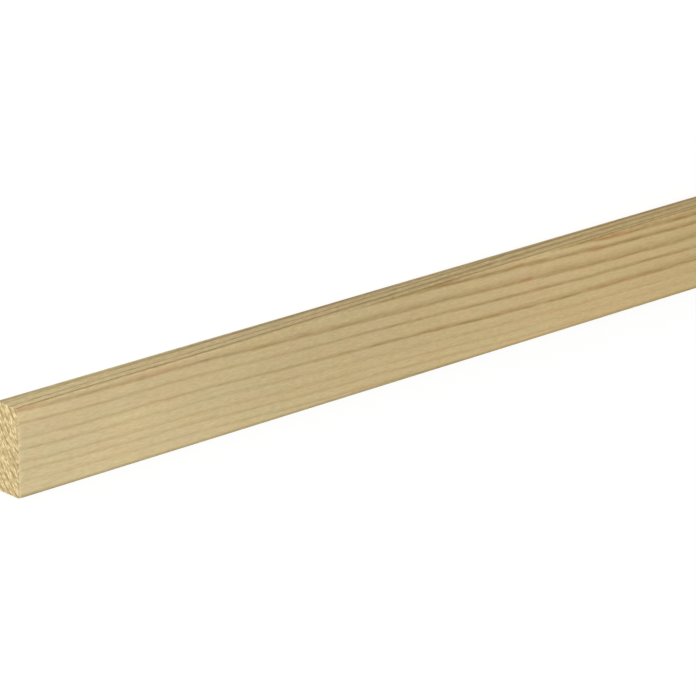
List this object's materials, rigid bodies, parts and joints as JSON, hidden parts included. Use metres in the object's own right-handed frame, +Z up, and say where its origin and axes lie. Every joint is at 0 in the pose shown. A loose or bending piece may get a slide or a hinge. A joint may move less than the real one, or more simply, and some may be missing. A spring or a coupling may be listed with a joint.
{
  "type": "flat wood strip",
  "caption": "Planed bare softwood strip of flat rectangular section, with eased long edges and square sawn ends, sold by length as trim, spacer or batten stock.",
  "frame": {"origin": "on the floor, under the middle of the strip, which lies on one wide face", "axes": "+X along the strip, +Y across its width, +Z up through its thickness"},
  "size_m": [1, 0.03, 0.01],
  "materials": {
    "softwood": "planed bare softwood with visible growth rings, rough sawn on its two ends"
  },
  "bodies": {
    "root": {"strip": "softwood"}
  },
  "joints": []
}
